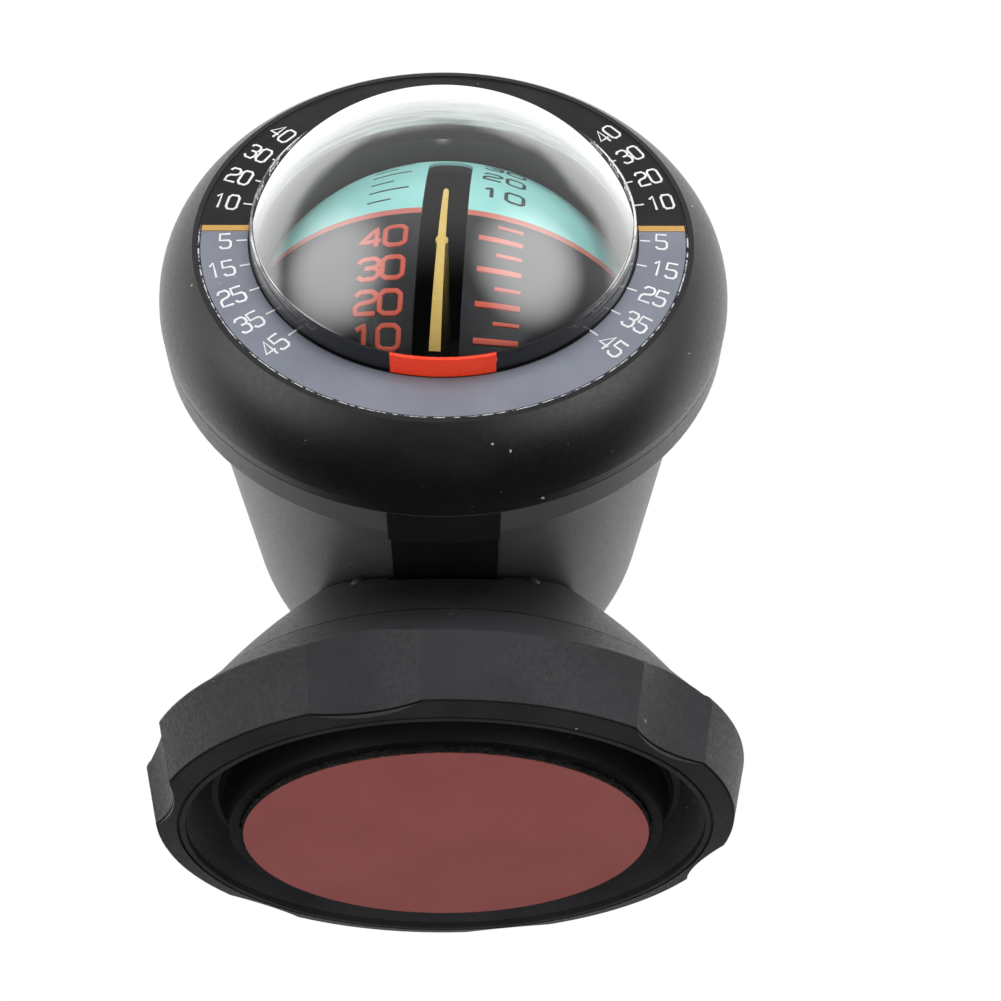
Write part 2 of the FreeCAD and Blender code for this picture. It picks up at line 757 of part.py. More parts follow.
def capsule_bowl():
    """Black bowl: sphere behind, straight mouth in front with a seal groove, three screw ears."""
    mouth = disc(bezel_bore - 0.15, float_centre + 10, bowl_front)
    shell = fuse([ball(bowl_outer, float_centre), mouth])
    flange_top_height = ear_top() - 0.05
    flange = disc(bezel_bore + bezel_sleeve, flange_top_height - ear_thickness, flange_top_height)
    ears = around(disc_at(ear_radius, ear_circle, flange_top_height - ear_thickness, flange_top_height), 3, 90)
    ears += around(block(bezel_bore - 5, ear_circle, -ear_radius, ear_radius, flange_top_height - ear_thickness,
                         flange_top_height), 3, 90)
    boss = stud(rear_direction(*bellows_place), bellows_radius + 1.0, bowl_inner + 0.2, bowl_outer + 0.8)
    shell = fuse([shell, flange, boss] + ears)
    shell = shell.cut(disc(60, bowl_front, bowl_front + 40)).cut(bowl_inside())
    groove = ring(seal_radius - 0.6, seal_radius + 0.6, bowl_front - 0.7, bowl_front + 1)
    shell = shell.cut(groove)
    shell = shell.cut(disc(bearing_radius, float_centre - bowl_outer - 1, float_centre - bowl_inner + 1))
    shell = shell.cut(stud(rear_direction(*plug_place), plug_radius, bowl_inner - 1, bowl_outer + 2))
    shell = shell.cut(stud(rear_direction(*bellows_place), bellows_radius, bowl_inner + 0.3, bowl_outer + 2))
    shell = shell.cut(stud(rear_direction(*bellows_place), bellows_radius - 1.6, bowl_inner - 1, bowl_outer + 2))
    for hole in around(disc_at(screw_radius + slip_gap, ear_circle, 0, dial_stand_off), 3, 90):
        shell = shell.cut(hole)
    return shell


def dome_seal():
    seal = Part.makeTorus(seal_radius, seal_section, Vector(0, 0, bowl_front - 0.7 + seal_section))
    return seal


def capsule_screws():
    """Three screws from behind the ears into the bezel's bosses."""
    under = ear_top() - 0.05 - ear_thickness
    head = disc_at(1.8, ear_circle, under - screw_head_height, under)
    shank = disc_at(screw_radius, ear_circle, under - 0.1, ear_top() + 3.2)
    return Part.makeCompound(around(fuse([head, shank]), 3, 90))


def fill_plug():
    direction = rear_direction(*plug_place)
    stem = stud(direction, plug_radius, bowl_inner + 0.1, bowl_outer + 0.4)
    head = stud(direction, plug_radius + 1.0, bowl_outer + 0.15, bowl_outer + 1.3)
    recess = stud(direction, 0.8, bowl_outer + 0.7, bowl_outer + 2)
    return fuse([stem, head]).cut(recess)


def expansion_diaphragm():
    """Rubber disc with a domed middle, which takes up the liquid's swelling."""
    direction = rear_direction(*bellows_place)
    plate = stud(direction, bellows_radius - 0.02, bowl_inner + 0.32, bowl_inner + 1.0)
    bulge = Part.makeSphere(bellows_radius - 1.8, Vector(0, 0, float_centre) + direction * (bowl_inner + 0.9))
    keep = stud(direction, bellows_radius, bowl_inner + 0.9, bowl_inner + 2.0)
    return fuse([plate, bulge.common(keep)])


def damping_liquid():
    """Clear liquid between the dome and the space that the float and needle sweep."""
    swept = float_radius + needle_gap + needle_thickness + 0.35
    inner = dome_radius - dome_wall - running_gap
    skirt = window_radius - dome_wall - running_gap
    body = disc(skirt, float_centre + 10, dome_centre + 40).common(ball(inner, dome_centre))
    keep = disc(skirt, bowl_front + 0.05, dome_centre + 40)
    liquid = body.common(keep).cut(ball(swept, float_centre))
    return max(liquid.Solids, key=lambda s: s.Volume)


def roll_bearing():
    """Blind bush at the bowl's rear pole."""
    rear = float_centre - bowl_outer
    inside = float_centre - bowl_inner + 0.7
    bush = fuse([disc(bearing_radius - 0.01, rear - 0.2, inside), disc(bearing_radius + 1.0, rear - 1.7, rear - 0.05)])
    return bush.cut(disc(roll_shaft_radius + running_gap, rear - 0.9, inside + 1))


# ---- roll frame, built about the float's centre with +Z up ----
def roll_shaft():
    """Steel shaft from the rear bearing into the yoke."""
    rear = bowl_outer + 0.85
    return Part.makeCylinder(roll_shaft_radius, rear - yoke_half + 1.5, Vector(0, yoke_half - 1.5, 0), Vector(0, 1, 0))


def roll_yoke():
    """Small block at the centre with a hanger for the weight."""
    body = block(-yoke_half, yoke_half, -yoke_half, yoke_half, -yoke_half, yoke_half)
    body = body.makeFillet(0.8, body.Edges)
    hanger = block(-1.2, 1.2, -1.2, 1.2, -roll_weight_drop - 1.0, -yoke_half + 0.5)
    body = fuse([body, hanger])
    body = body.cut(Part.makeCylinder(roll_shaft_radius, 10, Vector(0, yoke_half - 1.5, 0), Vector(0, 1, 0)))
    body = body.cut(Part.makeCylinder(cross_shaft_radius, 20, Vector(-10, 0, 0), Vector(1, 0, 0)))
    return body.cut(spoke(0.7, yoke_half - 1.2, yoke_half + 4, needle_arm_angle))


def roll_weight():
    weight = Part.makeCylinder(roll_weight_radius, roll_weight_height,
                               Vector(0, 0, -roll_weight_drop - roll_weight_height / 2))
    return weight.cut(block(-1.2, 1.2, -1.2, 1.2, -roll_weight_drop - 1.0, 0))


def cross_shaft():
    reach = float_radius - float_wall - 0.6
    return Part.makeCylinder(cross_shaft_radius, 2 * reach, Vector(-reach, 0, 0), Vector(1, 0, 0))


def needle_arm():
    return spoke(0.7, yoke_half - 1.2, float_radius + needle_gap - 0.02, needle_arm_angle)


def needle():
    """Curved pointer in front of the float, narrow at the top and wide at the foot."""
    inner = float_radius + needle_gap
    outer = inner + needle_thickness
    strip = wedge(needle_base_half_width, outer, needle_bottom, needle_top)
    strip = strip.cut(Part.makeCylinder(inner, 8, Vector(-4, 0, 0), Vector(1, 0, 0)))
    low = inner * math.sin(math.radians(needle_bottom)) - 1
    high = inner * math.sin(math.radians(needle_top))
    taper = Part.Face(Part.makePolygon([
        Vector(-needle_base_half_width, 0, low), Vector(needle_base_half_width, 0, low),
        Vector(needle_tip_half_width, 0, high - 0.4), Vector(0, 0, high), Vector(-needle_tip_half_width, 0, high - 0.4),
        Vector(-needle_base_half_width, 0, low)]))
    return strip.common(taper.extrude(Vector(0, -outer - 5, 0)))


# ---- float ----
def float_shell():
    """Hollow ball with the front slot for the needle and the rear slot for the shaft."""
    shell = ball(float_radius).cut(ball(float_radius - float_wall))
    shell = shell.cut(slot(slot_half_width, float_radius + 3, slot_bottom, slot_top))
    return shell.cut(slot(rear_slot_half_width, float_radius + 3, 180 - rear_slot_angle, 180 + rear_slot_angle))


def band_height():
    return float_radius * math.sin(math.radians(band_latitude))


def float_lower_shell():
    return float_shell().cut(block(-40, 40, -40, 40, band_height() - band_width / 2, 40))


def float_upper_shell():
    return float_shell().cut(block(-40, 40, -40, 40, -40, band_height() + band_width / 2))


def horizon_band():
    half = band_width / 2
    return float_shell().common(block(-40, 40, -40, 40, band_height() - half, band_height() + half))


def float_hubs():
    """Two bushes inside the float on the cross shaft."""
    inside = ball(float_radius - float_wall)
    hubs = []
    for side in (-1, 1):
        start = float_radius - float_wall - float_hub_length
        hub = Part.makeCylinder(float_hub_radius, 2 * float_hub_length, Vector(side * start, 0, 0), Vector(side, 0, 0))
        hub = hub.common(inside)
        bore = Part.makeCylinder(cross_shaft_radius + running_gap, 60, Vector(-30, 0, 0), Vector(1, 0, 0))
        hubs.append(hub.cut(bore))
    return Part.makeCompound(hubs)


def float_weight():
    """Brass cap glued into the bottom of the float."""
    outer = float_radius - float_wall
    cap = ball(outer).cut(ball(outer - float_weight_thickness))
    return cap.common(block(-40, 40, -40, 40, -40, float_weight_depth - outer))


os.makedirs("parts", exist_ok=True)
base_parts = [release_paper, foam_tape, pad_plate, felt_washer, swivel_washer, swivel_screw, grip_ring,
              neck_cone, friction_seat, swivel_plate, swivel_plate_screws, clamp_shoe, clamp_spring, clamp_screw,
              clamp_nut, rear_housing, key_rib]
head_parts = [bezel_ring, dial_ring, dial_lower_inlay, level_marks, window_ring, index_bar, clear_dome,
              capsule_bowl, dome_seal, capsule_screws, fill_plug, expansion_diaphragm, damping_liquid, roll_bearing]
roll_parts = [roll_shaft, roll_yoke, roll_weight, cross_shaft, needle_arm, needle]
float_parts = [float_lower_shell, float_upper_shell, horizon_band, float_hubs, float_weight]
for make in base_parts:
    export(make.__name__, make())
for make in head_parts:
    export(make.__name__, on_head(make()))
for make in roll_parts:
    export(make.__name__, in_roll_frame(make()))
for make in float_parts:
    export(make.__name__, at_float(make()))
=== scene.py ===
import bmesh
import bpy
import math
from mathutils import Matrix, Vector, noise


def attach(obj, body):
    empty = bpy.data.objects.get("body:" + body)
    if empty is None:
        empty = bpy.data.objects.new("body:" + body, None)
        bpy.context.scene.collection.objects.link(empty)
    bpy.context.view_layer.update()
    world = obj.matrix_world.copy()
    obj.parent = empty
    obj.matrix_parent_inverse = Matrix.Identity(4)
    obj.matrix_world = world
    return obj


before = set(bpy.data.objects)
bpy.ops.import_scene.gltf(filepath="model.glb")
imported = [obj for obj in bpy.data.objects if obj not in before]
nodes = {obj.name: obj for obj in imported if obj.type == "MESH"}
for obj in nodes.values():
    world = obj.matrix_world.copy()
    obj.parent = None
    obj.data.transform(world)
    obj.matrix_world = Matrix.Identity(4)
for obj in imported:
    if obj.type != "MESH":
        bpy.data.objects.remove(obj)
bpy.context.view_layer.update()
mm = 0.001
print("frame loaded:", len(nodes), "nodes")

# The head at rest: the dial looks up a little, and the ball hangs a little to the right.
# Lengths in mm, angles in degrees; dial, dome and ball are distances ahead of the pivot.
headPlace = {"pivot": 51.0, "tilt": 1.5, "dial": 50.2, "dome": 36.7, "ball": 26.2, "roll": 3.5}
ballRadius = 26.0
tilt = math.radians(headPlace["tilt"])
outward = Vector((0, -math.cos(tilt), math.sin(tilt)))
upward = Vector((0, math.sin(tilt), math.cos(tilt)))
pivot = Vector((0, 0, headPlace["pivot"]))
ballCentre = pivot + outward * headPlace["ball"]
domeCentre = pivot + outward * headPlace["dome"]
hang = Matrix.Rotation(-math.radians(headPlace["roll"]), 3, outward)


def onDial(across, up, out):
    return (pivot + outward * (headPlace["dial"] + out) + upward * up + Vector((across, 0, 0))) * mm


def onBall(across, along, out):
    # along is measured up the ball's front from its middle, as an arc in mm
    depth = math.sqrt((ballRadius + out) ** 2 - across ** 2)
    angle = along / ballRadius
    local = Vector((across, -depth * math.cos(angle), depth * math.sin(angle)))
    return (ballCentre + hang @ local) * mm


# camera
cameraSpot = {"place": (1.972, -171.52, -70.85), "yaw": -1.7862, "pitch": 35.2366, "roll": -1.1834,
              "lens": 53.946, "sensor": 36, "near": 0.005, "far": 20}


def placeCamera(spot):
    cameraData = bpy.data.cameras.new("camera")
    cameraData.sensor_width = spot["sensor"]
    cameraData.lens = spot["lens"]
    cameraData.clip_start = spot["near"]
    cameraData.clip_end = spot["far"]
    camera = bpy.data.objects.new("camera", cameraData)
    turn = (Matrix.Rotation(math.radians(spot["yaw"]), 4, "Z")
            @ Matrix.Rotation(math.radians(90 + spot["pitch"]), 4, "X")
            @ Matrix.Rotation(math.radians(spot["roll"]), 4, "Z"))
    camera.matrix_world = Matrix.Translation(Vector(spot["place"]) * mm) @ turn
    bpy.context.scene.collection.objects.link(camera)
    bpy.context.scene.camera = camera


def addNode(tree, kind, **settings):
    node = tree.nodes.new(kind)
    for name, value in settings.items():
        setattr(node, name, value)
    return node


def sums(tree, operation, first, second):
    node = addNode(tree, "ShaderNodeMath", operation=operation)
    for socket, value in zip(node.inputs, (first, second)):
        if isinstance(value, (int, float)):
            socket.default_value = value
        else:
            tree.links.new(value, socket)
    return node.outputs[0]


def ranged(tree, value, low, high, start, end):
    node = addNode(tree, "ShaderNodeMapRange", interpolation_type="SMOOTHSTEP")
    tree.links.new(value, node.inputs["Value"])
    for name, number in zip(("From Min", "From Max", "To Min", "To Max"), (low, high, start, end)):
        node.inputs[name].default_value = number
    return node.outputs["Result"]


# floor: pale from above, clear from below, where the object is looked at through it;
# away from the object it turns into the white of the background
floorLook = {"size": 6.0, "height": -0.0003, "colour": (0.86, 0.86, 0.86, 1), "rough": 0.6,
             "fadeFrom": 0.16, "fadeTo": 0.5}


def makeFloor(look):
    mesh = bpy.data.meshes.new("floor")
    shape = bmesh.new()
    bmesh.ops.create_grid(shape, x_segments=1, y_segments=1, size=look["size"] / 2)
    bmesh.ops.translate(shape, verts=shape.verts, vec=(0, 0, look["height"]))
    shape.to_mesh(mesh)
    shape.free()
    floor = bpy.data.objects.new("floor", mesh)
    bpy.context.scene.collection.objects.link(floor)
    material = bpy.data.materials.new("paleFloor")
    material.use_nodes = True
    tree = material.node_tree
    shader = tree.nodes["Principled BSDF"]
    shader.inputs["Base Color"].default_value = look["colour"]
    shader.inputs["Roughness"].default_value = look["rough"]
    clear = addNode(tree, "ShaderNodeBsdfTransparent")
    side = addNode(tree, "ShaderNodeNewGeometry")
    mix = addNode(tree, "ShaderNodeMixShader")
    coords = addNode(tree, "ShaderNodeTexCoord")
    away = addNode(tree, "ShaderNodeVectorMath", operation="LENGTH")
    tree.links.new(coords.outputs["Object"], away.inputs[0])
    path = addNode(tree, "ShaderNodeLightPath")
    seen = sums(tree, "MAXIMUM", path.outputs["Is Camera Ray"], path.outputs["Is Glossy Ray"])
    seen = sums(tree, "MAXIMUM", seen, path.outputs["Is Transmission Ray"])
    white = addNode(tree, "ShaderNodeEmission")
    fade = addNode(tree, "ShaderNodeMixShader")
    far = ranged(tree, away.outputs["Value"], look["fadeFrom"], look["fadeTo"], 0.0, 1.0)
    tree.links.new(sums(tree, "MULTIPLY", far, seen), fade.inputs["Fac"])
    tree.links.new(shader.outputs["BSDF"], fade.inputs[1])
    tree.links.new(white.outputs[0], fade.inputs[2])
    tree.links.new(side.outputs["Backfacing"], mix.inputs["Fac"])
    tree.links.new(fade.outputs[0], mix.inputs[1])
    tree.links.new(clear.outputs["BSDF"], mix.inputs[2])
    tree.links.new(mix.outputs["Shader"], tree.nodes["Material Output"].inputs["Surface"])
    mesh.materials.append(material)
    floor.visible_shadow = False
    floor.visible_diffuse = False
    floor.visible_glossy = False


lamps = [
    {"name": "topBox", "place": (0, 0.1, 0.8), "aim": (0, -0.02, 0.05), "size": (0.7, 0.6), "power": 6.0},
    {"name": "frontBox", "place": (0.1, -0.75, 0.4), "aim": (0, -0.05, 0.05), "size": (0.6, 0.6),
     "power": 7.0},
    {"name": "lowFill", "place": (-0.1, -0.4, -0.65), "aim": (0, -0.02, 0.02), "size": (0.5, 0.5),
     "power": 2.6},
]
# what shines in gloss, by direction: bright behind and above the object, dark from below,
# and two soft patches in front, low at the left and the right
skyLook = {"back": 1.3, "backTurn": 25.0, "backEdge": 0.10, "ripple": 0.14, "rippleScale": 2.6,
           "rippleDetail": 3.5, "front": 0.45, "below": 0.015,
           "horizon": (-0.5, 0.2), "cut": (-0.35, 0.1), "fill": 0.34,
           "patches": [{"aim": (-0.80, -0.59, -0.10), "core": 1.0, "edge": 0.85, "glow": 2.6},
                       {"aim": (0.66, -0.73, -0.16), "core": 1.0, "edge": 0.85, "glow": 2.9}]}


def facing(tree, direction, axis):
    node = addNode(tree, "ShaderNodeVectorMath", operation="DOT_PRODUCT")
    node.inputs[1].default_value = Vector(axis).normalized()
    tree.links.new(direction, node.inputs[0])
    return node.outputs["Value"]


def glossSky(tree, look):
    direction = addNode(tree, "ShaderNodeTexCoord").outputs["Generated"]
    wave = addNode(tree, "ShaderNodeTexNoise")
    wave.inputs["Scale"].default_value = look["rippleScale"]
    wave.inputs["Detail"].default_value = look["rippleDetail"]
    tree.links.new(direction, wave.inputs["Vector"])
    ripple = sums(tree, "MULTIPLY", sums(tree, "SUBTRACT", wave.outputs["Fac"], 0.5), look["ripple"] * 2)
    turn = math.radians(look["backTurn"])
    behind = sums(tree, "ADD", facing(tree, direction, (0, math.cos(turn), math.sin(turn))), ripple)
    above = facing(tree, direction, (0, 0, 1))
    level = ranged(tree, behind, -look["backEdge"], look["backEdge"], 0.0, look["back"])
    level = sums(tree, "MULTIPLY", level, ranged(tree, above, *look["cut"], 0.0, 1.0))
    level = sums(tree, "ADD", level, ranged(tree, above, *look["horizon"], look["below"], look["front"]))
    for patch in look["patches"]:
        near = facing(tree, direction, patch["aim"])
        level = sums(tree, "ADD", level, ranged(tree, near, patch["edge"], patch["core"], 0.0, patch["glow"]))
    return level


def hangLamps(look):
    for lamp in lamps:
        data = bpy.data.lights.new(lamp["name"], "AREA")
        data.shape = "RECTANGLE"
        data.size, data.size_y = lamp["size"]
        data.energy = lamp["power"]
        box = bpy.data.objects.new(lamp["name"], data)
        place = Vector(lamp["place"])
        aim = (Vector(lamp["aim"]) - place).to_track_quat("-Z", "Y")
        box.matrix_world = Matrix.Translation(place) @ aim.to_matrix().to_4x4()
        box.visible_glossy = False
        bpy.context.scene.collection.objects.link(box)
    world = bpy.data.worlds.new("studio")
    world.use_nodes = True
    tree = world.node_tree
    fill = tree.nodes["Background"]
    fill.inputs["Color"].default_value = (1, 1, 1, 1)
    fill.inputs["Strength"].default_value = look["fill"]
    white = addNode(tree, "ShaderNodeBackground")
    white.inputs["Color"].default_value = (1, 1, 1, 1)
    gloss = addNode(tree, "ShaderNodeBackground")
    tree.links.new(glossSky(tree, look), gloss.inputs["Strength"])
    path = addNode(tree, "ShaderNodeLightPath")
    seen = sums(tree, "MAXIMUM", path.outputs["Is Camera Ray"], path.outputs["Is Transmission Ray"])
    shiny = addNode(tree, "ShaderNodeMixShader")
    tree.links.new(path.outputs["Is Glossy Ray"], shiny.inputs["Fac"])
    tree.links.new(fill.outputs[0], shiny.inputs[1])
    tree.links.new(gloss.outputs[0], shiny.inputs[2])
    mix = addNode(tree, "ShaderNodeMixShader")
    tree.links.new(seen, mix.inputs["Fac"])
    tree.links.new(shiny.outputs[0], mix.inputs[1])
    tree.links.new(white.outputs[0], mix.inputs[2])
    tree.links.new(mix.outputs[0], tree.nodes["World Output"].inputs["Surface"])
    bpy.context.scene.world = world


placeCamera(cameraSpot)
makeFloor(floorLook)
hangLamps(skyLook)
bpy.context.scene.view_settings.view_transform = "Standard"
bpy.context.scene.cycles.transparent_max_bounces = 32
print("stage set")


# materials: patterns are measured in mm from the object's origin
def millimetres(tree, stretch=(1, 1, 1)):
    coords = addNode(tree, "ShaderNodeTexCoord")
    mapping = addNode(tree, "ShaderNodeMapping")
    mapping.inputs["Scale"].default_value = [1000 * part for part in stretch]
    tree.links.new(coords.outputs["Object"], mapping.inputs["Vector"])
    return mapping.outputs["Vector"]


def noisy(tree, vector, scale, detail=3.0, rough=0.55):
    node = addNode(tree, "ShaderNodeTexNoise")
    node.inputs["Scale"].default_value = scale
    node.inputs["Detail"].default_value = detail
    node.inputs["Roughness"].default_value = rough
    tree.links.new(vector, node.inputs["Vector"])
    return node.outputs["Fac"]


def blended(tree, factor, first, second):
    node = addNode(tree, "ShaderNodeMix", data_type="RGBA")
    tree.links.new(factor, node.inputs[0])
    for socket, value in ((node.inputs[6], first), (node.inputs[7], second)):
        if isinstance(value, tuple):
            socket.default_value = (*value, 1)
        else:
            tree.links.new(value, socket)
    return node.outputs[2]


def bumped(tree, shader, heights):
    # heights: (height socket, strength, distance in mm), one over the other
    previous = None
    for height, strength, distance in heights:
        bump = addNode(tree, "ShaderNodeBump")
        bump.inputs["Strength"].default_value = strength
        bump.inputs["Distance"].default_value = distance * mm
        tree.links.new(height, bump.inputs["Height"])
        if previous:
            tree.links.new(previous, bump.inputs["Normal"])
        previous = bump.outputs["Normal"]
    tree.links.new(previous, shader.inputs["Normal"])


def freshMaterial(name):
    material = bpy.data.materials.new(name)
    material.use_nodes = True
    return material, material.node_tree, material.node_tree.nodes["Principled BSDF"]


dustColour = (0.62, 0.62, 0.6)


def moulded(name, look):
    # moulded or painted plastic: cloudy tone, fine grain, a few pale dust specks
    material, tree, shader = freshMaterial(name)
    place = millimetres(tree, look.get("stretch", (1, 1, 1)))
    cloud = noisy(tree, place, look.get("cloud", 0.12))
    tone = blended(tree, ranged(tree, cloud, 0.3, 0.7, 0.0, 1.0), look["colour"], look["shade"])
    grain = noisy(tree, place, look.get("grain", 5.0), 2.0)
    tone = blended(tree, ranged(tree, grain, 0.35, 0.75, 0.0, look.get("mottle", 0.35)), tone, look["shade"])
    speck = noisy(tree, place, look.get("dustScale", 1.3), 1.0)
    dust = ranged(tree, speck, look.get("dustFrom", 0.79), 0.83, 0.0, look.get("dust", 0.0))
    tone = blended(tree, dust, tone, dustColour)
    tree.links.new(tone, shader.inputs["Base Color"])
    wear = noisy(tree, place, 2.0, 4.0)
    tree.links.new(ranged(tree, wear, 0.3, 0.7, *look["rough"]), shader.inputs["Roughness"])
    shader.inputs["Metallic"].default_value = look.get("metal", 0.0)
    shader.inputs["Specular IOR Level"].default_value = look.get("specular", 0.5)
    shader.inputs["Coat Weight"].default_value = look.get("coat", 0.0)
    shader.inputs["Coat Roughness"].default_value = 0.05
    bumped(tree, shader, [(grain, look.get("bump", 0.25), look.get("depth", 0.02)), (cloud, 0.03, 0.05)])
    return material


def turnedMetal(name, look):
    # machined metal: fine streaks, small pits
    material, tree, shader = freshMaterial(name)
    place = millimetres(tree, look.get("stretch", (1, 1, 14)))
    streak = noisy(tree, place, 1.6, 5.0)
    tone = blended(tree, ranged(tree, streak, 0.3, 0.7, 0.0, 1.0), look["colour"], look["shade"])
    tree.links.new(tone, shader.inputs["Base Color"])
    tree.links.new(ranged(tree, streak, 0.25, 0.75, *look["rough"]), shader.inputs["Roughness"])
    shader.inputs["Metallic"].default_value = look.get("metal", 1.0)
    bumped(tree, shader, [(streak, 0.2, 0.01)])
    return material


def fibrous(name, look):
    # paper, felt or foam: cells or fibres with a soft surface
    material, tree, shader = freshMaterial(name)
    place = millimetres(tree)
    warp = noisy(tree, place, look["fibre"], 6.0, 0.7)
    cells = addNode(tree, "ShaderNodeTexVoronoi")
    cells.inputs["Scale"].default_value = look["cell"]
    tree.links.new(place, cells.inputs["Vector"])
    cloud = noisy(tree, place, look["cloud"])
    tone = blended(tree, ranged(tree, cloud, 0.3, 0.7, 0.0, 1.0), look["colour"], look["shade"])
    tone = blended(tree, ranged(tree, warp, 0.4, 0.75, 0.0, look["mottle"]), tone, look["fleck"])
    tree.links.new(tone, shader.inputs["Base Color"])
    shader.inputs["Roughness"].default_value = look["rough"]
    shader.inputs["Specular IOR Level"].default_value = look.get("specular", 0.3)
    bumped(tree, shader, [(cells.outputs["Distance"], look["bump"], look["depth"]), (warp, 0.3, 0.03)])
    return material


def dressed(node, material):
    nodes[node].data.materials.clear()
    nodes[node].data.materials.append(material)


plasticLooks = {
    "gripRingPlastic": {"nodes": ["grip_ring"], "colour": (0.018, 0.018, 0.020),
                        "shade": (0.028, 0.028, 0.031), "rough": (0.50, 0.66), "specular": 0.35,
                        "grain": 6.5, "mottle": 0.55, "bump": 0.42, "depth": 0.03, "dust": 0.5,
                        "dustScale": 0.9, "cloud": 0.09},
    "neckPlastic": {"nodes": ["neck_cone"], "colour": (0.016, 0.016, 0.018), "shade": (0.026, 0.026, 0.028),
                    "rough": (0.46, 0.6), "grain": 6.5, "bump": 0.4, "depth": 0.025, "dust": 0.45},
    "housingPlastic": {"nodes": ["rear_housing"], "colour": (0.065, 0.065, 0.064),
                       "shade": (0.080, 0.080, 0.078), "rough": (0.40, 0.48), "grain": 6.0, "bump": 0.35,
                       "depth": 0.02, "dust": 0.5},
    "keyPlastic": {"nodes": ["key_rib", "roll_yoke"], "colour": (0.006, 0.006, 0.007),
                   "shade": (0.010, 0.010, 0.011), "rough": (0.4, 0.5), "grain": 6.0, "bump": 0.25},
    "bezelPlastic": {"nodes": ["bezel_ring"], "colour": (0.004, 0.004, 0.0045),
                     "shade": (0.009, 0.009, 0.0095), "rough": (0.36, 0.44), "specular": 0.7,
                     "grain": 5.5, "mottle": 0.5, "bump": 0.45, "depth": 0.03, "dust": 0.7,
                     "dustScale": 1.1, "dustFrom": 0.77},
    "dialPaint": {"nodes": ["dial_ring"], "colour": (0.006, 0.006, 0.007), "shade": (0.013, 0.013, 0.014),
                  "rough": (0.3, 0.45), "specular": 0.35, "grain": 7.0, "dust": 0.6},
    "slatePaint": {"nodes": ["dial_lower_inlay"], "colour": (0.150, 0.162, 0.198),
                   "shade": (0.185, 0.198, 0.24), "rough": (0.4, 0.5), "grain": 7.0, "dust": 0.5},
    "redBar": {"nodes": ["index_bar"], "colour": (0.98, 0.062, 0.014), "shade": (0.94, 0.048, 0.012),
               "rough": (0.2, 0.32), "grain": 4.0, "bump": 0.1, "coat": 0.3},
    "bowlPlastic": {"nodes": ["capsule_bowl"], "colour": (0.010, 0.010, 0.011),
                    "shade": (0.018, 0.018, 0.019), "rough": (0.4, 0.5)},
    "platePlastic": {"nodes": ["pad_plate"], "colour": (0.004, 0.004, 0.0045),
                     "shade": (0.007, 0.007, 0.0075), "rough": (0.45, 0.6), "specular": 0.3,
                     "grain": 6.0, "bump": 0.3, "dust": 0.4},
    "ballLower": {"nodes": ["float_lower_shell"], "colour": (0.018, 0.018, 0.020),
                  "shade": (0.030, 0.030, 0.032), "rough": (0.28, 0.4), "grain": 4.0, "bump": 0.1,
                  "dust": 0.3},
    "bandPaint": {"nodes": ["horizon_band"], "colour": (0.66, 0.20, 0.15), "shade": (0.60, 0.16, 0.12),
                  "rough": (0.35, 0.45), "grain": 5.0, "bump": 0.1},
    "nylon": {"nodes": ["friction_seat", "swivel_plate", "clamp_shoe", "roll_bearing", "float_hubs"],
              "colour": (0.55, 0.54, 0.50), "shade": (0.62, 0.61, 0.57), "rough": (0.4, 0.55), "grain": 3.0},
    "sealRubber": {"nodes": ["dome_seal", "fill_plug", "expansion_diaphragm"],
                   "colour": (0.015, 0.015, 0.015), "shade": (0.024, 0.024, 0.024), "rough": (0.6, 0.8),
                   "grain": 3.0, "bump": 0.2},
}
metalLooks = {
    "screwSteel": {"nodes": ["swivel_screw", "swivel_washer", "swivel_plate_screws", "clamp_screw",
                             "clamp_nut", "capsule_screws"], "colour": (0.55, 0.55, 0.56),
                   "shade": (0.42, 0.42, 0.43), "rough": (0.25, 0.42)},
    "springSteel": {"nodes": ["clamp_spring"], "colour": (0.32, 0.32, 0.34), "shade": (0.22, 0.22, 0.24),
                    "rough": (0.3, 0.45)},
    "shaftSteel": {"nodes": ["roll_shaft", "cross_shaft"], "colour": (0.62, 0.62, 0.63),
                   "shade": (0.5, 0.5, 0.51), "rough": (0.15, 0.25), "stretch": (1, 12, 1)},
    "weightLead": {"nodes": ["roll_weight"], "colour": (0.07, 0.07, 0.075), "shade": (0.04, 0.04, 0.045),
                   "rough": (0.5, 0.7)},
    "weightBrass": {"nodes": ["float_weight"], "colour": (0.60, 0.45, 0.18),
                    "shade": (0.45, 0.33, 0.13), "rough": (0.3, 0.45)},
    "goldFoil": {"nodes": ["level_marks"], "colour": (0.72, 0.42, 0.13), "shade": (0.62, 0.35, 0.10),
                 "rough": (0.3, 0.42), "metal": 0.45},
    "needleGold": {"nodes": ["needle", "needle_arm"], "colour": (0.90, 0.65, 0.22),
                   "shade": (0.82, 0.55, 0.15), "rough": (0.28, 0.4), "metal": 0.25, "stretch": (1, 1, 4)},
}
